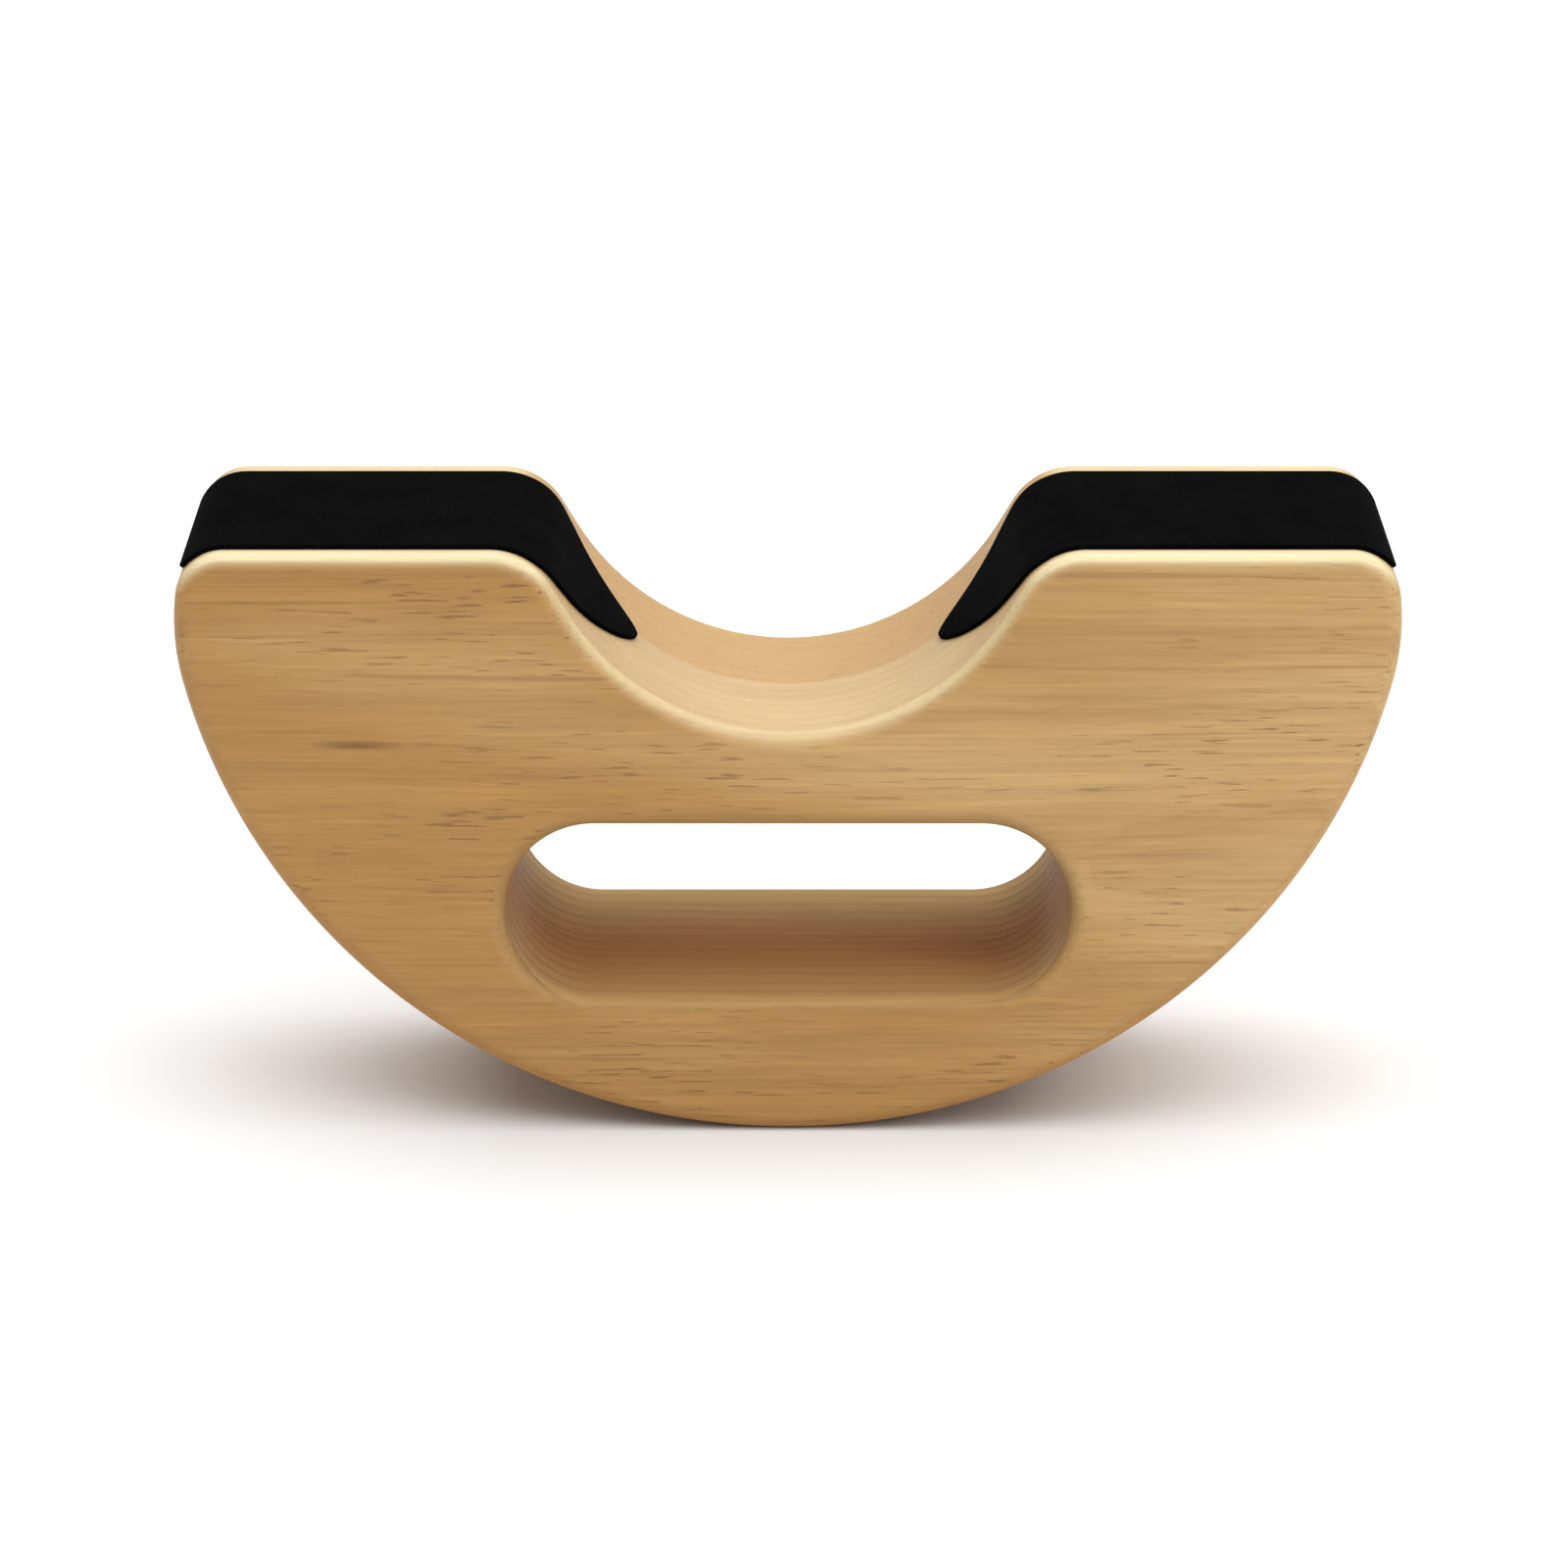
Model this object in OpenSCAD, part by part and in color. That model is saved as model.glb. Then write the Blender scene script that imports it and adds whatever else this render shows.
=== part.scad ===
// Rocker block for balancing, with a grip pad on each land.
// Two pine boards are glued face to face and cut to one outline: a round rocker
// below, two flat lands above, a round notch between them and a hand slot through
// the middle. A rubber pad is stuck over each land and runs down into the notch.
// The origin is on the floor under the middle of the block, +X runs along the
// rocker and the front board faces -Y.

/* [Boards] */
// Width over the two cheeks, where the block is widest
block_w = 296.5; // [250:0.5:356]
// Height from the lowest point of the rocker to the lands
block_h = 147; // [122:1:177]
// Thickness of each board
board_t = 45; // [37:0.5:54]
// Thickness of the glue between the two boards
glue_t = 0.2; // [0.1:0.05:0.4]
// Distance from a land down to where the block is widest
widest_drop = 18; // [15:0.5:21]
// Radius of the cheek that joins the rocker to an outer corner
cheek_r = 60; // [50:1:72]
// Radius of the outer corner beside each land
corner_r = 12; // [10:0.5:14]
// Radius of the rounding along every edge of the two outer faces
edge_r = 4.3; // [3:0.1:5.5]

/* [Notch] */
// Radius of the round bottom of the notch
notch_r = 62; // [51:1:75]
// Depth of the notch below the lands
notch_depth = 45; // [37:1:54]
// Radius of the shoulder between a land and the notch
shoulder_r = 17.5; // [14:0.5:21]
// Slope of the straight flank between a shoulder and the notch, in degrees
flank_angle = 59; // [50:1:64]

/* [Hand slot] */
// Length of the slot over its round ends
slot_w = 138.5; // [115:0.5:167]
// Height of the slot
slot_h = 44; // [36:0.5:53]
// Wood between the bottom of the notch and the slot
slot_web = 23.5; // [19:0.5:29]

/* [Grip pads] */
// Thickness of a pad
pad_t = 1; // [0.8:0.1:2]
// Thickness of the adhesive under a pad
adhesive_t = 0.2; // [0.1:0.05:0.4]
// Distance by which the adhesive stops short of the pad's outline
adhesive_inset = 0.6; // [0.2:0.1:1.5]
// Wood left clear between the front face and a pad
pad_front_margin = 5.5; // [5.5:0.5:10]
// Wood left clear between the rear face and a pad
pad_rear_margin = 13; // [5.5:0.5:16]
// Drop from the land to the outer end of a pad
pad_drop = 6; // [5:0.5:8]
// Radius of the two corners at the outer end of a pad
pad_corner_r = 6; // [3:0.5:6]
// Angle on the notch from its lowest point to the tip of a pad
pad_tip_angle = 37.5; // [32:0.5:45]
// Height over which a pad narrows to its tip
pad_taper_h = 29; // [24:0.5:32]

/* [Hidden] */
// Straight pieces that each round stretch of an outline is drawn with
rocker_steps = 60;
cheek_steps = 6;
corner_steps = 10;
shoulder_steps = 8;
notch_steps = 18;
slot_steps = 20;
edge_steps = 5;
taper_steps = 20;

// Rocker, cheek and outer corner: three arcs that run into each other without a kink
cheek_x = block_w / 2 - cheek_r;
cheek_z = block_h - widest_drop;
rocker_r = (cheek_x * cheek_x / (cheek_z - cheek_r) + cheek_z + cheek_r) / 2;
rocker_fall = asin((rocker_r - cheek_z) / (rocker_r - cheek_r));
corner_z = block_h - corner_r;
corner_start = asin((corner_z - cheek_z) / (cheek_r - corner_r));
corner_x = cheek_x + (cheek_r - corner_r) * cos(corner_start);

// Notch: its centre, and the straight flank up to the shoulder
notch_z = block_h - notch_depth + notch_r;
flank_foot_z = notch_z - notch_r * cos(flank_angle);
flank_head_z = block_h - shoulder_r * (1 - cos(flank_angle));
flank_run = (flank_head_z - flank_foot_z) / tan(flank_angle);
shoulder_x = (notch_r + shoulder_r) * sin(flank_angle) + flank_run;
shoulder_z = block_h - shoulder_r;

// Hand slot: its end radius, its middle height and the place of its round ends
slot_r = slot_h / 2;
slot_z = block_h - notch_depth - slot_web - slot_r;
slot_x = (slot_w - slot_h) / 2;

// Pads: reach towards the front and the rear, measured from the middle of the glue
half_depth = board_t + glue_t / 2;
pad_front = half_depth - pad_front_margin;
pad_rear = half_depth - pad_rear_margin;
pad_mid = (pad_front - pad_rear) / 2;
pad_half = (pad_front + pad_rear) / 2;

// Shape of the narrowing end of a pad: how late it starts to narrow and how blunt its tip is
taper_delay = 1.3;
taper_blunt = 0.6;

// How far the cutting shapes run past what they cut
over = 10;

pine = [0.80, 0.64, 0.42];
pine_rear = [0.78, 0.59, 0.36];
glue = [0.62, 0.45, 0.26];
rubber = [0.07, 0.07, 0.07];
film = [0.80, 0.78, 0.70];

function arc(centre, r, from, to, steps) = [
    for (i = [0:steps])
        let (a = from + (to - from) * i / steps)
        centre + r * [cos(a), sin(a)]
];
function flip(p) = [-p[0], p[1]];
function reverse(points) = [for (i = [len(points) - 1:-1:0]) points[i]];
function tail(points) = [for (i = [1:len(points) - 1]) points[i]];

// The outlines lie flat, with the block's height along Y, and are moved into the wood by
// an inset. The block's is drawn as its right half, from its lowest point to the notch's.

// Cheek, outer corner, land, shoulder, flank and notch
function top_half(inset) = concat(
    arc([cheek_x, cheek_z], cheek_r - inset, -rocker_fall, corner_start, cheek_steps),
    tail(arc([corner_x, corner_z], corner_r - inset, corner_start, 90, corner_steps)),
    arc([shoulder_x, shoulder_z], shoulder_r - inset, 90, 90 + flank_angle, shoulder_steps),
    arc([0, notch_z], notch_r + inset, flank_angle - 90, -90, notch_steps)
);
function block_half(inset) = concat(
    arc([0, rocker_r], rocker_r - inset, -90, -rocker_fall, rocker_steps),
    tail(top_half(inset))
);
function block_outline(inset) =
    let (half = block_half(inset))
    concat(half, [for (i = [len(half) - 2:-1:1]) flip(half[i])]);
function slot_outline(inset) = concat(
    arc([slot_x, slot_z], slot_r + inset, -90, 90, slot_steps),
    arc([-slot_x, slot_z], slot_r + inset, 90, 270, slot_steps)
);

// A solid of stacked rings that all have as many points, with a flat face at each end
module stack(rings) {
    size = len(rings[0]);
    last = (len(rings) - 1) * size;
    walls = [for (k = [0:len(rings) - 2], i = [0:size - 1])
        let (j = (i + 1) % size, low = k * size, high = low + size)
        [low + i, high + i, high + j, low + j]];
    ends = [[for (i = [0:size - 1]) i], [for (i = [size - 1:-1:0]) last + i]];
    polyhedron([for (ring = rings) each ring], concat(walls, ends));
}

function lift(outline, height) = [for (p = outline) [p[0], p[1], height]];

// One board lying on its glued side, with its outer face up and every edge of it rounded
module board() {
    edge = [for (i = [0:edge_steps])
        let (a = 90 * i / edge_steps)
        [edge_r * (1 - cos(a)), board_t - edge_r + edge_r * sin(a)]];
    difference() {
        stack(concat([lift(block_outline(0), 0)], [for (e = edge) lift(block_outline(e[0]), e[1])]));
        stack(concat(
            [lift(slot_outline(0), -over)],
            [for (e = edge) lift(slot_outline(e[0]), e[1])],
            [lift(slot_outline(edge_r), board_t + over)]
        ));
    }
}

// Stands a lying shape up, so that what was its top faces the front
module stand() {
    rotate([90, 0, 0]) children();
}

// Outline of a pad's outer end seen from the side, with height along X and depth along Y
function outer_end(inset) =
    let (half = pad_half - inset, foot = block_h - pad_drop + inset, r = pad_corner_r - inset)
    concat(
        [[block_h + over, half]],
        arc([foot + r, half - r], r, 90, 180, corner_steps),
        arc([foot + r, r - half], r, 180, 270, corner_steps),
        [[block_h + over, -half]]
    );

// Outline of a pad's narrowing end in the notch, seen from the side
function notch_end(inset) =
    let (
        half = pad_half - inset,
        tip = notch_z - notch_r * cos(pad_tip_angle) + inset,
        run = pad_taper_h - inset,
        edge = [for (i = [0:taper_steps])
            let (v = i / taper_steps)
            [tip + run * (1 - v), half * pow(1 - pow(v, taper_delay), taper_blunt)]],
        far_edge = [for (p = reverse(edge)) [p[0], -p[1]]]
    )
    concat([[block_h + over, half]], edge, tail(far_edge), [[block_h + over, -half]]);

// Runs an outline seen from the side along +X
module sideways(length) {
    rotate([90, 0, 90]) linear_extrude(length) children();
}

// A layer with the right pad's outline, lying between two heights above the wood
module pad_layer(low, high, inset) {
    translate([0, 0, pad_mid])
        intersection() {
            translate([0, 0, -half_depth])
                linear_extrude(2 * half_depth)
                    polygon(concat(top_half(-high), reverse(top_half(-low))));
            union() {
                translate([shoulder_x, 0, 0]) sideways(block_w) polygon(outer_end(inset));
                sideways(shoulder_x + over) polygon(notch_end(inset));
            }
        }
}

module front_board() {
    color(pine) translate([0, -glue_t / 2, 0]) stand() board();
}

module rear_board() {
    color(pine_rear) translate([0, glue_t / 2, 0]) mirror([0, 1, 0]) stand() board();
}

module glue_line() {
    color(glue)
        translate([0, glue_t / 2, 0])
            stand()
                linear_extrude(glue_t)
                    difference() {
                        polygon(block_outline(0));
                        polygon(slot_outline(0));
                    }
}

module right_pad() {
    color(rubber) stand() pad_layer(adhesive_t, adhesive_t + pad_t, 0);
}

module left_pad() {
    mirror([1, 0, 0]) right_pad();
}

module right_pad_adhesive() {
    color(film) stand() pad_layer(0, adhesive_t, adhesive_inset);
}

module left_pad_adhesive() {
    mirror([1, 0, 0]) right_pad_adhesive();
}

front_board();
rear_board();
glue_line();
left_pad();
right_pad();
left_pad_adhesive();
right_pad_adhesive();
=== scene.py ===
import math

import bmesh
import bpy
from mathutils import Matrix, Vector


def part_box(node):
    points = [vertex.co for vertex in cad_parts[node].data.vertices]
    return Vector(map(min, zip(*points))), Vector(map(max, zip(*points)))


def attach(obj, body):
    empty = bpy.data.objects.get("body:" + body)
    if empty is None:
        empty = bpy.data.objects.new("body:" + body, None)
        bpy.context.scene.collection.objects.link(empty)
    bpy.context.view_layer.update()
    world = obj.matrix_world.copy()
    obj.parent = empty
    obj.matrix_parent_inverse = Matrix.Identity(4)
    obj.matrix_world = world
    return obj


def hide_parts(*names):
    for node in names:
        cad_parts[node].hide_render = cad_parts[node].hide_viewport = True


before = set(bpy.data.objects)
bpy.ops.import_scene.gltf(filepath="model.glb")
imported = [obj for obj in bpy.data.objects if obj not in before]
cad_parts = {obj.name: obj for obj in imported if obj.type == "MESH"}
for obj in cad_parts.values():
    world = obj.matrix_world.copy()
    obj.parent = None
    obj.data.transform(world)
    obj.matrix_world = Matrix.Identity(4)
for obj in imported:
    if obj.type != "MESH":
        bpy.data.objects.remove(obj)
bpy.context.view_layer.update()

BODY = "root"
MM = 0.001
UPRIGHT = (0, 0, 1)

# ---------------------------------------------------------------- sizes, in metres
# Width and the radii of the block's outline
BLOCK_W = 296.5 * MM
WIDEST_DROP = 18 * MM
CHEEK_R = 60 * MM
CORNER_R = 12 * MM
NOTCH_R = 62 * MM
NOTCH_DEPTH = 45 * MM
SHOULDER_R = 17.5 * MM
FLANK_ANGLE = 59
EDGE_R = 4.3 * MM
SLOT_W = 138.5 * MM
SLOT_H = 44 * MM
SLOT_WEB = 23.5 * MM

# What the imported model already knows
BLOCK_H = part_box("front_board")[1].z
GLUE_FRONT_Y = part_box("front_board")[1].y
GLUE_REAR_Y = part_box("rear_board")[0].y
BOARD_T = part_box("rear_board")[1].y - GLUE_REAR_Y
PAD_LOW, PAD_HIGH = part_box("right_pad")
PAD_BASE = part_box("right_pad_adhesive")[1].z - BLOCK_H
PAD_TOP = PAD_HIGH.z - BLOCK_H
PAD_HALF = (PAD_HIGH.y - PAD_LOW.y) / 2
PAD_MID_Y = (PAD_HIGH.y + PAD_LOW.y) / 2

# Grip pad: its cut outline and its softened edge
PAD_DROP = 6 * MM
PAD_CORNER_R = 6 * MM
PAD_TAPER_H = 29 * MM
PAD_TAPER_DELAY = 1.3
PAD_TAPER_BLUNT = 0.6
PAD_EDGE_R = 0.35 * MM

# A narrow flat strip beside each rounding, and a finer one beside the glue, keep the
# large faces flat in the light
STRIP = 0.6 * MM
GLUE_STRIP = 0.1 * MM
# Points of a board that lie nearer than this are one point
SEWN_WITHIN = 0.01 * MM

# Straight pieces that each round stretch is drawn with
ROCKER_STEPS = 104
CHEEK_STEPS = 12
CORNER_STEPS = 24
SHOULDER_STEPS = 20
NOTCH_STEPS = 44
SLOT_STEPS = 60
EDGE_STEPS = 10
PAD_EDGE_STEPS = 4
PAD_TIP_ROWS = 56
PAD_LAND_ROWS = 64
PAD_CORNER_ROWS = 16
PAD_COLUMNS = 28

# Worked out: rocker, cheek and corner run into each other, and the flank touches both its arcs
CHEEK_X = BLOCK_W / 2 - CHEEK_R
CHEEK_Z = BLOCK_H - WIDEST_DROP
ROCKER_R = (CHEEK_X ** 2 / (CHEEK_Z - CHEEK_R) + CHEEK_Z + CHEEK_R) / 2
ROCKER_FALL = math.degrees(math.asin((ROCKER_R - CHEEK_Z) / (ROCKER_R - CHEEK_R)))
CORNER_Z = BLOCK_H - CORNER_R
CORNER_START = math.degrees(math.asin((CORNER_Z - CHEEK_Z) / (CHEEK_R - CORNER_R)))
CORNER_X = CHEEK_X + (CHEEK_R - CORNER_R) * math.cos(math.radians(CORNER_START))
NOTCH_Z = BLOCK_H - NOTCH_DEPTH + NOTCH_R
SHOULDER_Z = BLOCK_H - SHOULDER_R
FLANK_SIN = math.sin(math.radians(FLANK_ANGLE))
FLANK_COS = math.cos(math.radians(FLANK_ANGLE))
FLANK_RISE = BLOCK_H - SHOULDER_R * (1 - FLANK_COS) - (NOTCH_Z - NOTCH_R * FLANK_COS)
SHOULDER_X = (NOTCH_R + SHOULDER_R) * FLANK_SIN + FLANK_RISE * FLANK_COS / FLANK_SIN
SLOT_R = SLOT_H / 2
SLOT_Z = BLOCK_H - NOTCH_DEPTH - SLOT_WEB - SLOT_R
SLOT_X = (SLOT_W - SLOT_H) / 2


# ---------------------------------------------------------------- small tools
def into_scene(obj):
    bpy.context.scene.collection.objects.link(obj)
    return obj


def arc(x, z, radius, start, end, steps):
    """Points (x, height) along an arc, from one angle to another in degrees."""
    angles = [math.radians(start + (end - start) * i / steps) for i in range(steps + 1)]
    return [(x + radius * math.cos(a), z + radius * math.sin(a)) for a in angles]


def line_object(name, runs, closed):
    """A helper curve through flat runs of points, each (x, y)."""
    curve = bpy.data.curves.new(name, "CURVE")
    curve.dimensions = "3D"
    for run in runs:
        spline = curve.splines.new("POLY")
        spline.points.add(len(run) - 1)
        for point, (x, y) in zip(spline.points, run):
            point.co = (x, y, 0, 1)
        spline.use_cyclic_u = closed
    return into_scene(bpy.data.objects.new(name, curve))


def add(tree, kind, inputs=None, **settings):
    """Adds a node to a tree, sets it up, and sets or links its inputs."""
    node = tree.nodes.new(kind)
    for key, value in settings.items():
        setattr(node, key, value)
    for key, value in (inputs or {}).items():
        if isinstance(value, bpy.types.NodeSocket):
            tree.links.new(value, node.inputs[key])
        else:
            node.inputs[key].default_value = value
    return node


def new_shape_tree(name, sockets):
    """A Geometry Nodes tree with named inputs; gives the tree and its input node."""
    tree = bpy.data.node_groups.new(name, "GeometryNodeTree")
    tree.interface.new_socket("Geometry", in_out="INPUT", socket_type="NodeSocketGeometry")
    for label, kind in sockets.items():
        tree.interface.new_socket(label, in_out="INPUT", socket_type=kind)
    tree.interface.new_socket("Geometry", in_out="OUTPUT", socket_type="NodeSocketGeometry")
    return tree, tree.nodes.new("NodeGroupInput").outputs


def end_shape_tree(tree, shape, finish):
    """Closes a tree: what it made becomes real and gets its finish."""
    real = add(tree, "GeometryNodeRealizeInstances", {0: shape})
    painted = add(tree, "GeometryNodeSetMaterial", {"Geometry": real.outputs[0], "Material": finish})
    add(tree, "NodeGroupOutput", {0: painted.outputs[0]})


def shape_by_tree(piece, tree, values):
    """Runs a tree on a piece and keeps the result as its plain mesh, with faces outwards."""
    modifier = piece.modifiers.new(tree.name, "NODES")
    modifier.node_group = tree
    for item in tree.interface.items_tree:
        if item.in_out == "INPUT" and item.name in values:
            modifier[item.identifier] = values[item.name]
    bpy.context.view_layer.update()
    seen = piece.evaluated_get(bpy.context.evaluated_depsgraph_get())
    made = bpy.data.meshes.new_from_object(seen)
    piece.modifiers.remove(modifier)
    piece.data = made
    made.name = piece.name
    made.materials.clear()
    made.materials.append(values["Finish"])
    made.polygons.foreach_set("material_index", [0] * len(made.polygons))
    work = bmesh.new()
    work.from_mesh(made)
    bmesh.ops.recalc_face_normals(work, faces=work.faces)
    work.to_mesh(made)
    work.free()


def show_as(piece, slot, *nodes):
    """The piece rides with the block and stands for these CAD nodes."""
    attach(piece, BODY)
    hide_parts(*nodes)


# ---------------------------------------------------------------- outlines
def top_run():
    """From the rocker's end over cheek, corner, land, shoulder and flank to the notch's middle."""
    return (
        arc(CHEEK_X, CHEEK_Z, CHEEK_R, -ROCKER_FALL, CORNER_START, CHEEK_STEPS)
        + arc(CORNER_X, CORNER_Z, CORNER_R, CORNER_START, 90, CORNER_STEPS)[1:]
        + arc(SHOULDER_X, SHOULDER_Z, SHOULDER_R, 90, 90 + FLANK_ANGLE, SHOULDER_STEPS)
        + arc(0, NOTCH_Z, NOTCH_R, FLANK_ANGLE - 90, -90, NOTCH_STEPS)
    )


def block_outline():
    half = arc(0, ROCKER_R, ROCKER_R, -90, -ROCKER_FALL, ROCKER_STEPS) + top_run()[1:]
    other = [(-x, z) for x, z in reversed(half[1:-1])]
    return half + other


def slot_outline():
    """The slot runs the other way round, so that the wood stays on the same hand."""
    ends = arc(SLOT_X, SLOT_Z, SLOT_R, -90, 90, SLOT_STEPS)
    ends += arc(-SLOT_X, SLOT_Z, SLOT_R, 90, 270, SLOT_STEPS)
    return list(reversed(ends))


def board_edge():
    """The wall and the rounding of a board's edge: (depth from the glue, minus the inset)."""
    wall = BOARD_T - EDGE_R
    rounding = [
        (wall + y, x - EDGE_R)
        for x, y in arc(0, 0, EDGE_R, 0, 90, EDGE_STEPS)
    ]
    return [(0, 0), (GLUE_STRIP, 0), (wall - STRIP, 0)] + rounding + [(BOARD_T, -EDGE_R - STRIP)]


# ---------------------------------------------------------------- parts of a finish
def new_finish(name):
    finish = bpy.data.materials.new(name)
    finish.use_nodes = True
    tree = finish.node_tree
    shader = tree.nodes["Principled BSDF"]
    return finish, tree, shader


def ramp(tree, value, stops):
    """A colour ramp; each stop is (place, grey or colour)."""
    node = add(tree, "ShaderNodeValToRGB", {"Fac": value})
    band = node.color_ramp
    while len(band.elements) < len(stops):
        band.elements.new(1)
    for element, (place, colour) in zip(band.elements, stops):
        element.position = place
        element.color = (*colour, 1) if hasattr(colour, "__len__") else (colour, colour, colour, 1)
    return node.outputs["Color"]


def noise(tree, place, stretch, detail=2.0, roughness=0.5, shift=(0, 0, 0)):
    """Noise whose grains are 1 / stretch metres long along each axis."""
    moved = add(tree, "ShaderNodeMapping", {"Vector": place, "Location": shift, "Scale": stretch})
    inputs = {"Vector": moved.outputs[0], "Scale": 1.0, "Detail": detail, "Roughness": roughness}
    return add(tree, "ShaderNodeTexNoise", inputs).outputs["Fac"]


def tint(tree, amount, under, over, blend="MIX"):
    """Mixes two colours by an amount."""
    node = add(tree, "ShaderNodeMix", data_type="RGBA", blend_type=blend)
    for key, value in (("Factor", amount), ("A", under), ("B", over)):
        socket = next(s for s in node.inputs if s.name == key and s.enabled)
        if isinstance(value, bpy.types.NodeSocket):
            tree.links.new(value, socket)
        elif key == "Factor":
            socket.default_value = value
        else:
            socket.default_value = (*value, 1)
    return next(s for s in node.outputs if s.name == "Result" and s.enabled)


def shaded(tree, colour, value, stops):
    """Darkens and lightens a colour by a ramp over a value."""
    return tint(tree, 1.0, colour, ramp(tree, value, stops), "MULTIPLY")


def maths(tree, operation, a, b=0.0, c=0.0):
    return add(tree, "ShaderNodeMath", {0: a, 1: b, 2: c}, operation=operation).outputs[0]


def times(tree, a, b):
    return maths(tree, "MULTIPLY", a, b)


def between(tree, value, low, high, start=0.0, end=1.0, kind="LINEAR"):
    """Turns the range from low to high into start to end, and stays there beyond it."""
    inputs = {"Value": value, "From Min": low, "From Max": high, "To Min": start, "To Max": end}
    return add(tree, "ShaderNodeMapRange", inputs, interpolation_type=kind).outputs[0]


def reach_of(tree, vector):
    return add(tree, "ShaderNodeVectorMath", {0: vector}, operation="LENGTH").outputs["Value"]


# ---------------------------------------------------------------- pine
# How many grains of each mark go into a metre, along the grain, across it and up
DRIFT_GRAIN = (5, 22, 22)
PATCH_GRAIN = (7, 26, 26)
STREAK_GRAIN = (7, 260, 260)
FIBRE_GRAIN = (26, 1000, 1000)
CLUSTER_GRAIN = (9, 24, 24)
FLECK_GRAIN = (88, 1250, 1250)
LINE_GRAIN = (8, 520, 520)
KNOT_GRAIN = (78, 45, 620)

# How far the grain wanders off the straight, and the place and number of the growth rings
GRAIN_WANDER = 0.006
PITH_PLACE = (0, 0.19, -0.07)
RING_SCALE = 52.0

# How warm and dark the colour is from the floor up to the lands, in level bands that are painted shade
# near the floor: (share of the height, warmth)
BANDS_AND_PAINTED_SHADE = [
    (0.0, 1.0),
    (0.07, 0.95),
    (0.13, 0.42),
    (0.22, 0.62),
    (0.42, 0.32),
    (0.60, 0.14),
    (0.74, 0.32),
    (0.84, 0.02),
    (0.90, 0.10),
    (0.97, 0.70),
]
# Painted shade: the bands fade and the patches pale from left to right, by this much for each metre, so
# the left is painted darker
BANDS_SHADE_TO_LEFT = -3.4
BANDS_MIDDLE = 0.62
PATCHES_SHADE_TO_LEFT = -3.6
# Warmth, wood tone with painted shade in it, below the first is all the pale colour, and above the second
# all the warm colour
WARMTH_FROM = -0.25
WARMTH_TO = 1.05

# How strongly each mark shows, and its colour
RINGS_SHOW = 0.28
FLECKS_SHOW = 0.62
FLECK_COLOUR = (0.155, 0.070, 0.024)
LINES_SHOW = 0.36
LINE_COLOUR = (0.22, 0.105, 0.036)
KNOT_SHOWS = 0.90
KNOT_COLOUR = (0.13, 0.055, 0.018)
# Painted highlight on what faces up, with rings drawn over it
TOP_HIGHLIGHT_SHOWS = 0.44
TOP_RINGS_SHOW = 0.40
TOP_RING_COLOUR = (0.40, 0.245, 0.115)
# Painted highlight on edges that face up
EDGE_HIGHLIGHT_COLOUR = (0.66, 0.60, 0.37)
EDGE_HIGHLIGHT_IN_NOTCH = 0.25
EDGE_HIGHLIGHT_ON_LAND = 0.75
# Painted shade on what faces down, and in the slot's wall
UNDERSIDE_SHADE_SHOWS = 0.80
UNDERSIDE_SHADE_COLOUR = (0.41, 0.185, 0.036)
WALL_SHOWS = 0.88

# The slot's wall from the front face to the rear one: brown, red-brown and brown again, painted darker and
# redder as the shade and bounced light inside the slot
SLOT_WALL_SHADE = [
    (0.0, (0.33, 0.205, 0.077)),
    (0.14, (0.38, 0.208, 0.065)),
    (0.34, (0.46, 0.220, 0.052)),
    (0.52, (0.48, 0.228, 0.058)),
    (0.72, (0.41, 0.242, 0.082)),
    (1.0, (0.42, 0.275, 0.108)),
]
# How much its rings show on the straight part, and how far round an end they show in full
STRAIGHT_RINGS = 0.40
END_RINGS_REACH = 0.012


def wandering(tree, own):
    """The grain wanders slowly off the straight."""
    drift = add(tree, "ShaderNodeMapping", {"Vector": own, "Scale": DRIFT_GRAIN}).outputs[0]
    drift = add(tree, "ShaderNodeTexNoise", {"Vector": drift, "Scale": 1.0, "Detail": 1.0})
    drift = add(tree, "ShaderNodeVectorMath", {0: drift.outputs["Color"], 1: (0.5, 0.5, 0.5)},
                operation="SUBTRACT").outputs[0]
    spread = (0, GRAIN_WANDER, GRAIN_WANDER)
    return add(tree, "ShaderNodeVectorMath", {0: drift, 1: spread, 2: own},
               operation="MULTIPLY_ADD").outputs[0]


def growth_rings(tree, wander):
    """Rings round a far pith: thin dark late wood between wide pale early wood."""
    pith = add(tree, "ShaderNodeMapping", {"Vector": wander, "Location": PITH_PLACE}).outputs[0]
    shape = {"Vector": pith, "Scale": RING_SCALE, "Distortion": 0.6, "Detail": 2.0, "Detail Scale": 1.5}
    rings = add(tree, "ShaderNodeTexWave", shape,
                wave_type="RINGS", rings_direction="X", wave_profile="SAW").outputs["Fac"]
    return ramp(tree, rings, [(0.0, 0.45), (0.08, 0.0), (0.60, 0.08), (0.92, 0.55), (1.0, 1.0)])


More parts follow.
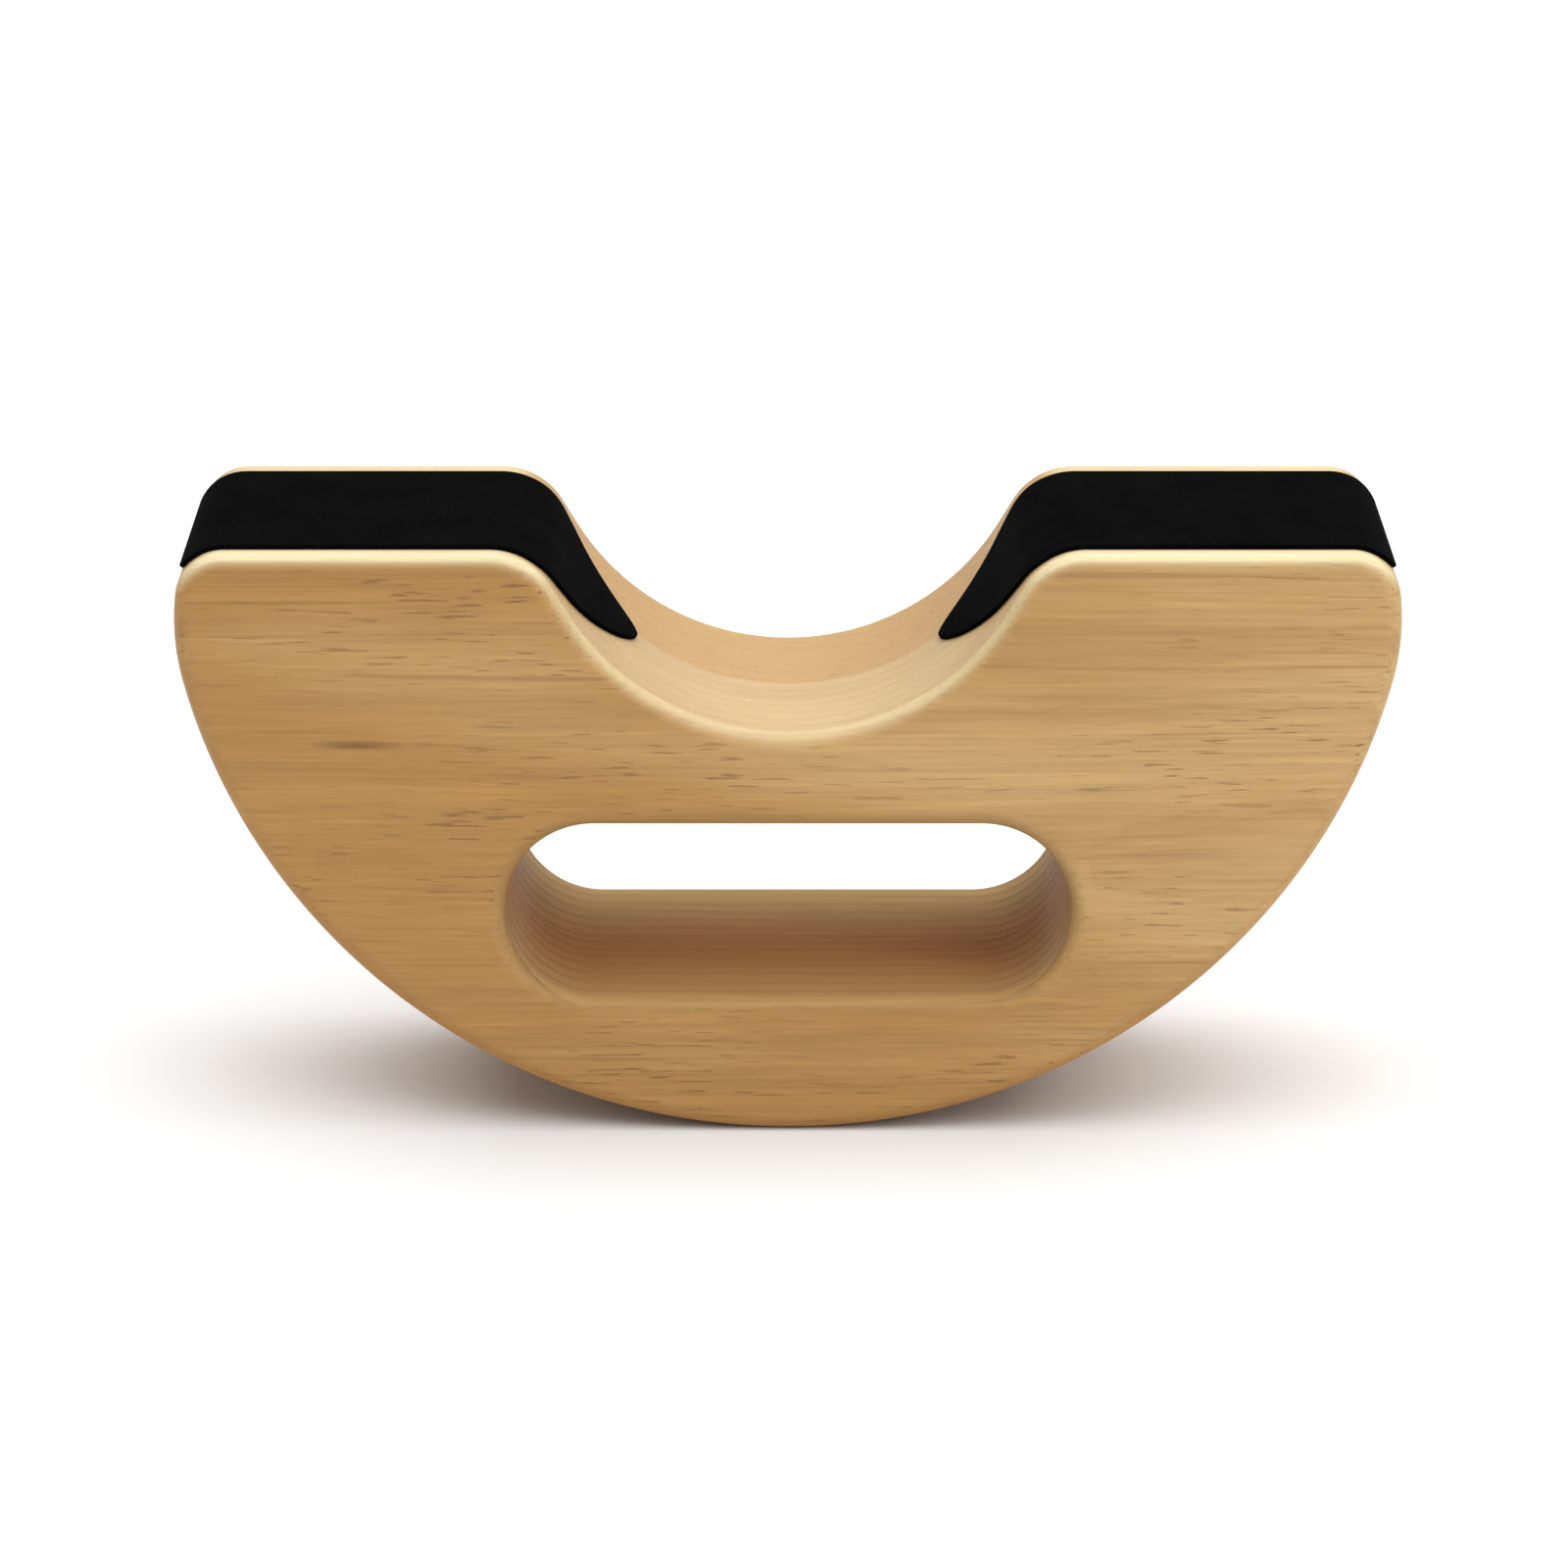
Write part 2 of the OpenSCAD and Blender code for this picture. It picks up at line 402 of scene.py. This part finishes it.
def warm_wood_and_painted_shade(tree, spot, wander):
    """Slow patches of warmer wood and level bands of warmer, darker colour, the bands painted shade near
    the floor; painted shade makes both stronger towards the left.
    """
    patches = ramp(tree, noise(tree, wander, PATCH_GRAIN), [(0.36, 0.0), (0.64, 0.7)])
    # Painted shade: the patches grow warmer and darker towards the left
    patches = maths(tree, "MULTIPLY_ADD", spot["X"], PATCHES_SHADE_TO_LEFT, patches)
    height = add(tree, "ShaderNodeSeparateXYZ", {0: wander}).outputs["Z"]
    bands_and_shade = ramp(tree, maths(tree, "DIVIDE", height, BLOCK_H), BANDS_AND_PAINTED_SHADE)
    # Painted shade: the bands grow stronger towards the left
    bands_and_shade = times(tree, bands_and_shade, maths(tree, "MULTIPLY_ADD", spot["X"], BANDS_SHADE_TO_LEFT, BANDS_MIDDLE))
    warmth_and_shade = maths(tree, "ADD", patches, bands_and_shade)
    return between(tree, warmth_and_shade, WARMTH_FROM, WARMTH_TO, kind="SMOOTHSTEP")


def resin_flecks(tree, own, wander):
    """Short dark resin flecks in loose clusters."""
    clusters = noise(tree, own, CLUSTER_GRAIN, 1.0, shift=(3, 1, 7))
    clusters = ramp(tree, clusters, [(0.42, 0.0), (0.60, 1.0)])
    flecks = noise(tree, wander, FLECK_GRAIN, 1.5, shift=(1, 5, 2))
    flecks = ramp(tree, flecks, [(0.62, 0.0), (0.69, 1.0)])
    return times(tree, flecks, clusters)


def thin_lines(tree, wander):
    """A few long thin lines along the grain."""
    lines = noise(tree, wander, LINE_GRAIN, 1.0, shift=(2, 9, 4))
    return ramp(tree, lines, [(0.64, 0.0), (0.74, 1.0)])


def healed_knot(tree, wander, fibres, knot):
    """A small healed knot, drawn out along the grain."""
    centre = add(tree, "ShaderNodeMapping", {"Vector": wander, "Location": knot}).outputs[0]
    away = add(tree, "ShaderNodeVectorMath", {0: centre, 1: KNOT_GRAIN}, operation="MULTIPLY")
    smudge = ramp(tree, reach_of(tree, away.outputs[0]), [(0.0, 1.0), (0.40, 0.75), (1.0, 0.0)])
    return times(tree, smudge, ramp(tree, fibres, [(0.3, 0.5), (0.6, 1.0)]))


def near_slot(tree, spot):
    """How far past the slot's straight part a point is, how far it counts as the slot's wall,
    which falls over the rounding, and how far it counts as wood clear of the slot."""
    beyond = maths(tree, "SUBTRACT", maths(tree, "ABSOLUTE", spot["X"]), SLOT_X)
    beyond = maths(tree, "MAXIMUM", beyond, 0.0)
    above = maths(tree, "SUBTRACT", spot["Z"], SLOT_Z)
    reach = reach_of(tree, add(tree, "ShaderNodeCombineXYZ", {"X": beyond, "Y": above}).outputs[0])
    wall = between(tree, reach, SLOT_R + 0.80 * EDGE_R, SLOT_R + 0.05 * EDGE_R)
    clear = between(tree, reach, SLOT_R + 0.6 * EDGE_R, SLOT_R + 1.6 * EDGE_R)
    return beyond, wall, clear


def painted_top_highlight(tree, wood, highlight_cream, late, facing, clear):
    """Painted highlight: what faces up is painted paler, with the rings drawn over it."""
    top_highlight = times(tree, ramp(tree, facing, [(0.10, 0.0), (0.85, 1.0)]), clear)
    wood = tint(tree, times(tree, top_highlight, TOP_HIGHLIGHT_SHOWS), wood, highlight_cream)
    drawn = times(tree, times(tree, late, top_highlight), TOP_RINGS_SHOW)
    return tint(tree, drawn, wood, TOP_RING_COLOUR)


def painted_edge_highlight(tree, spot, normal, fibres, clear):
    """Painted highlight: edges that face up are painted palest, the more so the nearer they are to a land.
    """
    across = maths(tree, "ABSOLUTE", normal["Y"])
    highlit = ramp(tree, across, [(0.05, 0.0), (0.35, 0.9), (0.70, 1.0), (0.93, 0.1), (1.0, 0.0)])
    highlit = times(tree, highlit, ramp(tree, normal["Z"], [(0.10, 0.0), (0.60, 1.0)]))
    height = between(tree, spot["Z"], BLOCK_H - NOTCH_DEPTH, BLOCK_H, EDGE_HIGHLIGHT_IN_NOTCH)
    highlit = times(tree, times(tree, highlit, clear), height)
    land = between(tree, spot["Z"], BLOCK_H - 0.5 * EDGE_R, BLOCK_H, 0.0, EDGE_HIGHLIGHT_ON_LAND)
    highlit = maths(tree, "MAXIMUM", highlit, land)
    return times(tree, highlit, ramp(tree, fibres, [(0.3, 0.55), (0.7, 0.80)]))


def painted_underside_shade(tree, wood, facing, clear):
    """Painted shade: what faces down is painted redder and darker."""
    under = ramp(tree, times(tree, facing, -1.0), [(0.10, 0.0), (0.90, 1.0)])
    under = times(tree, times(tree, under, clear), UNDERSIDE_SHADE_SHOWS)
    return tint(tree, under, wood, UNDERSIDE_SHADE_COLOUR)


def slot_wood_and_painted_shade(tree, spot, beyond, late, fibres):
    """The slot's wall is painted redder and darker still, as painted shade and bounced light inside the
    slot, most of all at half depth, and ringed round its ends.
    """
    depth = maths(tree, "MULTIPLY_ADD", spot["Y"], 0.5 / BOARD_T, 0.5)
    shaded_wall = shaded(tree, ramp(tree, depth, SLOT_WALL_SHADE), fibres, [(0.28, 0.90), (0.72, 1.10)])
    ends = between(tree, beyond, 0.0, END_RINGS_REACH, STRAIGHT_RINGS)
    return shaded(tree, shaded_wall, times(tree, late, ends), [(0.0, 1.06), (1.0, 0.58)])


def pine(name, pale, warm, heart, highlight_cream, shift, knot):
    """Lacquered pine with its grain along X and its growth rings nearly parallel to the faces."""
    finish, tree, shader = new_finish(name)
    texture = add(tree, "ShaderNodeTexCoord").outputs
    spot = add(tree, "ShaderNodeSeparateXYZ", {0: texture["Object"]}).outputs
    normal = add(tree, "ShaderNodeSeparateXYZ", {0: texture["Normal"]}).outputs
    own = add(tree, "ShaderNodeMapping", {"Vector": texture["Object"], "Location": shift}).outputs[0]
    wander = wandering(tree, own)
    late = growth_rings(tree, wander)
    fibres = noise(tree, wander, FIBRE_GRAIN, 5.0, 0.62)
    streaks = noise(tree, wander, STREAK_GRAIN, 3.0, 0.6)
    flecks = resin_flecks(tree, own, wander)
    beyond, wall, clear = near_slot(tree, spot)

    # Warmer, darker wood: its own slow patches, with painted shade low down and towards the left
    wood = tint(tree, warm_wood_and_painted_shade(tree, spot, wander), pale, warm)
    wood = tint(tree, times(tree, late, RINGS_SHOW), wood, heart)
    wood = shaded(tree, wood, streaks, [(0.25, 0.92), (0.75, 1.07)])
    wood = shaded(tree, wood, fibres, [(0.28, 0.86), (0.72, 1.11)])
    wood = tint(tree, times(tree, flecks, FLECKS_SHOW), wood, FLECK_COLOUR)
    wood = tint(tree, times(tree, thin_lines(tree, wander), LINES_SHOW), wood, LINE_COLOUR)
    smudge = healed_knot(tree, wander, fibres, knot)
    wood = tint(tree, times(tree, smudge, KNOT_SHOWS), wood, KNOT_COLOUR)
    # Painted highlight on what faces up
    wood = painted_top_highlight(tree, wood, highlight_cream, late, normal["Z"], clear)
    # Painted highlight on edges that face up
    wood = tint(tree, painted_edge_highlight(tree, spot, normal, fibres, clear), wood, EDGE_HIGHLIGHT_COLOUR)
    # Painted shade on what faces down
    wood = painted_underside_shade(tree, wood, normal["Z"], clear)
    # Painted shade and bounced light on the slot's wall
    shaded_wall = slot_wood_and_painted_shade(tree, spot, beyond, late, fibres)
    wood = tint(tree, times(tree, wall, WALL_SHOWS), wood, shaded_wall)

    tree.links.new(wood, shader.inputs["Base Color"])
    gloss = maths(tree, "MULTIPLY_ADD", wall, 0.35, ramp(tree, fibres, [(0.3, 0.52), (0.7, 0.42)]))
    tree.links.new(gloss, shader.inputs["Roughness"])
    relief = maths(tree, "MULTIPLY_ADD", flecks, -0.5, fibres)
    relief = maths(tree, "MULTIPLY_ADD", late, -0.35, relief)
    bump = add(tree, "ShaderNodeBump", {"Height": relief, "Strength": 0.18, "Distance": 0.00012})
    tree.links.new(bump.outputs[0], shader.inputs["Normal"])
    shader.inputs["Specular IOR Level"].default_value = 0.25
    shader.inputs["Coat Weight"].default_value = 0.12
    shader.inputs["Coat Roughness"].default_value = 0.28
    return finish


# ---------------------------------------------------------------- other finishes
def grip_rubber():
    """Matt black rubber with a fine pebbled skin and a little dust in it."""
    finish, tree, shader = new_finish("grip rubber")
    place = add(tree, "ShaderNodeTexCoord").outputs["Object"]
    cells = add(tree, "ShaderNodeTexVoronoi", {"Vector": place, "Scale": 1500.0, "Randomness": 0.9})
    grains = noise(tree, place, (2600, 2600, 2600))
    mottle = ramp(tree, noise(tree, place, (70, 70, 70), 3.0), [(0.35, 0.0), (0.65, 1.0)])
    black = tint(tree, mottle, (0.0010, 0.0010, 0.0012), (0.0020, 0.0020, 0.0023))
    dust = ramp(tree, grains, [(0.62, 0.0), (0.74, 1.0)])
    black = tint(tree, times(tree, dust, 0.5), black, (0.016, 0.016, 0.017))
    tree.links.new(black, shader.inputs["Base Color"])
    relief = maths(tree, "MULTIPLY_ADD", cells.outputs["Distance"], -0.7, grains)
    bump = add(tree, "ShaderNodeBump", {"Height": relief, "Strength": 0.5, "Distance": 0.0001})
    tree.links.new(bump.outputs[0], shader.inputs["Normal"])
    shader.inputs["Roughness"].default_value = 0.85
    shader.inputs["Specular IOR Level"].default_value = 0.008
    return finish


def clouded(name, grain, detail, dark, light, roughness):
    """A plain finish that drifts softly between two tones, with so many grains to a metre."""
    finish, tree, shader = new_finish(name)
    place = add(tree, "ShaderNodeTexCoord").outputs["Object"]
    amount = ramp(tree, noise(tree, place, (grain, grain, grain), detail), [(0.3, 0.0), (0.7, 1.0)])
    tree.links.new(tint(tree, amount, dark, light), shader.inputs["Base Color"])
    shader.inputs["Roughness"].default_value = roughness
    return finish


def dried_glue():
    """The thin amber line of glue between the boards."""
    return clouded("dried wood glue", 60, 3.0, (0.38, 0.21, 0.075), (0.50, 0.31, 0.13), 0.45)


def adhesive_film():
    """The milky film that holds a pad."""
    return clouded("adhesive film", 300, 2.0, (0.56, 0.53, 0.44), (0.66, 0.63, 0.55), 0.3)


# ---------------------------------------------------------------- boards
def board_tree():
    """Runs the edge profile round the outline, and closes the glued face and the outer face."""
    tree, given = new_shape_tree("board from an outline", {
        "Outline": "NodeSocketObject",
        "Edge profile": "NodeSocketObject",
        "Board thickness": "NodeSocketFloat",
        "Face inset": "NodeSocketFloat",
        "Facing": "NodeSocketFloat",
        "Glue plane": "NodeSocketFloat",
        "Finish": "NodeSocketMaterial",
    })
    outline = add(tree, "GeometryNodeObjectInfo", {"Object": given["Outline"]}).outputs["Geometry"]
    profile = add(tree, "GeometryNodeObjectInfo", {"Object": given["Edge profile"]}).outputs["Geometry"]
    framed = add(tree, "GeometryNodeSetCurveNormal", {"Curve": outline, "Normal": UPRIGHT}, mode="FREE")
    walls = add(tree, "GeometryNodeCurveToMesh",
                {"Curve": framed.outputs[0], "Profile Curve": profile}).outputs[0]

    along = tree.nodes.new("GeometryNodeInputTangent").outputs[0]
    out = add(tree, "ShaderNodeVectorMath", {0: along, 1: UPRIGHT}, operation="CROSS_PRODUCT").outputs[0]
    back = maths(tree, "MULTIPLY", given["Face inset"], -1.0)
    inwards = add(tree, "ShaderNodeVectorMath", {0: out, "Scale": back}, operation="SCALE")
    inner = add(tree, "GeometryNodeSetPosition", {"Geometry": outline, "Offset": inwards.outputs[0]})
    glued = add(tree, "GeometryNodeFillCurve", {0: outline}).outputs[0]
    outer = add(tree, "GeometryNodeFillCurve", {0: inner.outputs[0]}).outputs[0]
    depth = add(tree, "ShaderNodeCombineXYZ", {"Z": given["Board thickness"]}).outputs[0]
    outer = add(tree, "GeometryNodeTransform", {"Geometry": outer, "Translation": depth}).outputs[0]

    glued = add(tree, "GeometryNodeSetShadeSmooth", {0: glued, "Shade Smooth": False}).outputs[0]
    soft = add(tree, "GeometryNodeJoinGeometry", {0: walls})
    tree.links.new(outer, soft.inputs[0])
    soft = add(tree, "GeometryNodeSetShadeSmooth", {0: soft.outputs[0], "Shade Smooth": True}).outputs[0]
    whole = add(tree, "GeometryNodeJoinGeometry", {0: soft})
    tree.links.new(glued, whole.inputs[0])
    sewn = add(tree, "GeometryNodeMergeByDistance",
               {"Geometry": whole.outputs[0], "Distance": SEWN_WITHIN}).outputs[0]

    facing = add(tree, "ShaderNodeCombineXYZ", {"X": 1.0, "Y": 1.0, "Z": given["Facing"]}).outputs[0]
    plane = add(tree, "ShaderNodeCombineXYZ", {"Y": given["Glue plane"]}).outputs[0]
    stood = add(tree, "GeometryNodeTransform",
                {"Geometry": sewn, "Translation": plane, "Rotation": (math.pi / 2, 0, 0), "Scale": facing})
    end_shape_tree(tree, stood.outputs[0], given["Finish"])
    return tree


def make_boards():
    outline = line_object("block outline", [block_outline(), slot_outline()], True)
    profile = line_object("board edge", [board_edge()], False)
    tree = board_tree()
    front = pine(
        "front pine",
        pale=(0.485, 0.315, 0.128),
        warm=(0.372, 0.196, 0.054),
        heart=(0.30, 0.150, 0.042),
        highlight_cream=(0.50, 0.405, 0.238),
        shift=(0, 0, 0),
        knot=(0.1044, 0.045, -0.1004),
    )
    rear = pine(
        "rear pine",
        pale=(0.440, 0.275, 0.100),
        warm=(0.410, 0.232, 0.075),
        heart=(0.29, 0.140, 0.040),
        highlight_cream=(0.42, 0.270, 0.115),
        shift=(0.31, 0.083, 0.12),
        knot=(0.27, 0.1, 0.3),
    )
    boards = (("front", 1.0, GLUE_FRONT_Y, front), ("rear", -1.0, GLUE_REAR_Y, rear))
    for side, facing, plane, finish in boards:
        name = side + "_board_wood"
        piece = into_scene(bpy.data.objects.new(name, bpy.data.meshes.new(name)))
        shape_by_tree(piece, tree, {
            "Outline": outline,
            "Edge profile": profile,
            "Board thickness": BOARD_T,
            "Face inset": EDGE_R + STRIP,
            "Facing": facing,
            "Glue plane": plane,
            "Finish": finish,
        })
        show_as(piece, side + "_pine", side + "_board")
    bpy.data.objects.remove(outline)
    bpy.data.objects.remove(profile)


# ---------------------------------------------------------------- grip pads
def lengths(run):
    """Distance from a run's start to each of its points."""
    total = [0.0]
    for (x0, z0), (x1, z1) in zip(run, run[1:]):
        total.append(total[-1] + math.hypot(x1 - x0, z1 - z0))
    return total


def distance_at(run, height, falling):
    """How far along a run it reaches a height, on its rising start or its falling end."""
    steps = list(zip(lengths(run), run))
    pairs = list(zip(steps, steps[1:]))
    if falling:
        pairs.reverse()
    for (d0, (_, z0)), (d1, (_, z1)) in pairs:
        if min(z0, z1) <= height <= max(z0, z1) and z0 != z1:
            return d0 + (d1 - d0) * (height - z0) / (z1 - z0)
    raise ValueError("the run doesn't reach that height")


def pad_side(run):
    """One long side of the cut pad, from its tip to its outer end: (distance, half width)."""
    tip = PAD_LOW.z
    side = []
    for i in range(PAD_TIP_ROWS + 1):
        share = math.sin(math.pi / 2 * i / PAD_TIP_ROWS)
        fall = (1 - share ** (1 / PAD_TAPER_BLUNT)) ** (1 / PAD_TAPER_DELAY)
        side.append((distance_at(run, tip + PAD_TAPER_H * (1 - fall), True), PAD_HALF * share))
    start = side[-1][0]
    end = distance_at(run, BLOCK_H - PAD_DROP, False)
    corner = end + PAD_CORNER_R
    for i in range(1, PAD_LAND_ROWS):
        side.append((start + (corner - start) * i / PAD_LAND_ROWS, PAD_HALF))
    side += arc(corner, PAD_HALF - PAD_CORNER_R, PAD_CORNER_R, 90, 180, PAD_CORNER_ROWS)
    return side


def inset_side(side, inset):
    """Moves a side into the pad. Its tip and its outer end stay square to the pad's length."""
    moved = []
    last = len(side) - 1
    for i, (d, w) in enumerate(side):
        before = side[max(i - 1, 0)]
        after = side[min(i + 1, last)]
        run, rise = after[0] - before[0], after[1] - before[1]
        size = math.hypot(run, rise)
        out = (rise / size, -run / size)
        if i == 0:
            out = (1.0, 0.0)
        if i == last:
            out = (-1.0, 0.0)
        moved.append((d - out[0] * inset, w - out[1] * inset))
    return moved


def pad_rings():
    """Inset and height above the wood of each ring round a pad, from its foot to its top."""
    foot = PAD_TOP - PAD_EDGE_R
    rounding = arc(PAD_EDGE_R, foot, PAD_EDGE_R, 180, 90, PAD_EDGE_STEPS)
    return [(0.0, PAD_BASE)] + rounding + [(PAD_EDGE_R + STRIP, PAD_TOP)]


def flat_pad(run):
    """A pad as it is cut: X runs along the block, Y across it and Z up from the wood."""
    side = pad_side(run)
    last = len(side) - 1
    points, faces, rings = [], [], []

    def point(d, y, height):
        points.append((d, PAD_MID_Y + y, height))
        return len(points) - 1

    def across(row, column):
        return row * (1 - 2 * column / PAD_COLUMNS)

    for inset, height in pad_rings():
        moved = inset_side(side, inset)
        near = [point(d, -w, height) for d, w in moved]
        end_d, end_w = moved[-1]
        end = [point(end_d, across(-end_w, j), height) for j in range(1, PAD_COLUMNS)]
        far = [point(d, w, height) for d, w in moved[1:]]
        rings.append((moved, height, near, end, far))

    def loop(ring):
        return ring[2] + ring[3] + ring[4][::-1]

    for low, high in zip(rings, rings[1:]):
        a, b = loop(low), loop(high)
        for i in range(len(a)):
            j = (i + 1) % len(a)
            faces.append((a[i], a[j], b[j], b[i]))

    def cover(ring):
        moved, height, near, end, far = ring
        above = None
        for i in range(1, last + 1):
            d, w = moved[i]
            inner = end
            if i < last:
                inner = [point(d, across(-w, j), height) for j in range(1, PAD_COLUMNS)]
            row = [near[i]] + inner + [far[i - 1]]
            for j in range(PAD_COLUMNS):
                if above is None:
                    faces.append((near[0], row[j], row[j + 1]))
                else:
                    faces.append((above[j], row[j], row[j + 1], above[j + 1]))
            above = row

    cover(rings[0])
    cover(rings[-1])
    return points, faces


def wrap_tree():
    """Bends a flat pad over the block: its length follows the path and its height stands off it."""
    tree, given = new_shape_tree("pad bent over the block", {
        "Path": "NodeSocketObject",
        "Side": "NodeSocketFloat",
        "Finish": "NodeSocketMaterial",
    })
    path = add(tree, "GeometryNodeObjectInfo", {"Object": given["Path"]}).outputs["Geometry"]
    flat = add(tree, "ShaderNodeSeparateXYZ", {0: tree.nodes.new("GeometryNodeInputPosition").outputs[0]})
    there = add(tree, "GeometryNodeSampleCurve",
                {"Curves": path, "Length": flat.outputs["X"]}, mode="LENGTH")
    up = add(tree, "ShaderNodeVectorMath", {0: there.outputs["Tangent"], 1: UPRIGHT},
             operation="CROSS_PRODUCT").outputs[0]
    up = add(tree, "ShaderNodeVectorMath", {0: up}, operation="NORMALIZE").outputs[0]
    off = add(tree, "ShaderNodeVectorMath",
              {0: up, "Scale": flat.outputs["Z"]}, operation="SCALE").outputs[0]
    on_path = add(tree, "ShaderNodeVectorMath", {0: there.outputs["Position"], 1: off}, operation="ADD")
    lying = add(tree, "ShaderNodeSeparateXYZ", {0: on_path.outputs[0]})
    x = maths(tree, "MULTIPLY", lying.outputs["X"], given["Side"])
    stood = add(tree, "ShaderNodeCombineXYZ", {"X": x, "Y": flat.outputs["Y"], "Z": lying.outputs["Y"]})
    bent = add(tree, "GeometryNodeSetPosition",
               {"Geometry": given["Geometry"], "Position": stood.outputs[0]})
    smooth = add(tree, "GeometryNodeSetShadeSmooth", {0: bent.outputs[0], "Shade Smooth": True})
    end_shape_tree(tree, smooth.outputs[0], given["Finish"])
    return tree


def make_pads():
    run = top_run()
    path = line_object("path over the block", [run], False)
    points, faces = flat_pad(run)
    tree = wrap_tree()
    rubber = grip_rubber()
    for name, side in (("left_pad", -1.0), ("right_pad", 1.0)):
        cut = bpy.data.meshes.new(name + "_rubber")
        cut.from_pydata(points, [], faces)
        piece = into_scene(bpy.data.objects.new(name + "_rubber", cut))
        shape_by_tree(piece, tree, {"Path": path, "Side": side, "Finish": rubber})
        show_as(piece, "grip_pad", name)
    bpy.data.objects.remove(path)


# ---------------------------------------------------------------- what the CAD nodes show
def paint_node(node, finish):
    """Gives a CAD node its finish."""
    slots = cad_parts[node].data.materials
    slots.clear()
    slots.append(finish)


def paint_nodes():
    paint_node("glue_line", dried_glue())
    film = adhesive_film()
    for side in ("left", "right"):
        paint_node(side + "_pad_adhesive", film)


# ---------------------------------------------------------------- studio
# The camera looks down a little at a point of the front face, a bit above its middle
CAMERA_PITCH = 17.2
CAMERA_DISTANCE = 1.5926
CAMERA_LENS = 150.75
CAMERA_AIM_X = -0.00095
CAMERA_AIM_Z = 0.0897
FLOOR_SIZE = 12.0
FLOOR_GREY = 0.72
SKY_STRENGTH = 0.52
# Each lamp: its name, its place, the point it shines at, its two sides and its power
LAMPS = [
    ("top light", (0.2, 0.3, 2.6), (0, 0.3, 0), (5.6, 5.6), 205),
    ("front light", (1.9, -2.2, 1.5), (0, 0, 0.08), (1.6, 1.6), 19),
]


def make_camera():
    front_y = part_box("front_board")[0].y
    target = Vector((CAMERA_AIM_X, front_y, CAMERA_AIM_Z))
    pitch = math.radians(CAMERA_PITCH)
    camera = into_scene(bpy.data.objects.new("camera", bpy.data.cameras.new("camera")))
    camera.location = target + CAMERA_DISTANCE * Vector((0, -math.cos(pitch), math.sin(pitch)))
    camera.rotation_euler = (math.pi / 2 - pitch, 0, 0)
    camera.data.lens = CAMERA_LENS
    bpy.context.scene.camera = camera


def make_floor():
    half = FLOOR_SIZE / 2
    corners = [(-half, -half, 0), (half, -half, 0), (half, half, 0), (-half, half, 0)]
    mesh = bpy.data.meshes.new("floor")
    mesh.from_pydata(corners, [], [(0, 1, 2, 3)])
    floor = into_scene(bpy.data.objects.new("floor", mesh))
    finish, _, shader = new_finish("pale floor")
    shader.inputs["Base Color"].default_value = (FLOOR_GREY, FLOOR_GREY, FLOOR_GREY, 1)
    shader.inputs["Roughness"].default_value = 0.9
    shader.inputs["Specular IOR Level"].default_value = 0.1
    mesh.materials.append(finish)


def soft_box(name, place, aim, size, power):
    lamp = bpy.data.lights.new(name, "AREA")
    lamp.shape = "RECTANGLE"
    lamp.size, lamp.size_y = size
    lamp.energy = power
    obj = into_scene(bpy.data.objects.new(name, lamp))
    obj.location = place
    obj.rotation_euler = (Vector(aim) - Vector(place)).to_track_quat("-Z", "Y").to_euler()


def make_light():
    world = bpy.data.worlds.new("studio")
    world.use_nodes = True
    sky = world.node_tree.nodes["Background"]
    sky.inputs["Color"].default_value = (1, 1, 1, 1)
    sky.inputs["Strength"].default_value = SKY_STRENGTH
    bpy.context.scene.world = world
    for lamp in LAMPS:
        soft_box(*lamp)


bpy.context.scene.view_settings.view_transform = "Standard"
make_camera()
make_boards()
make_pads()
paint_nodes()
make_floor()
make_light()
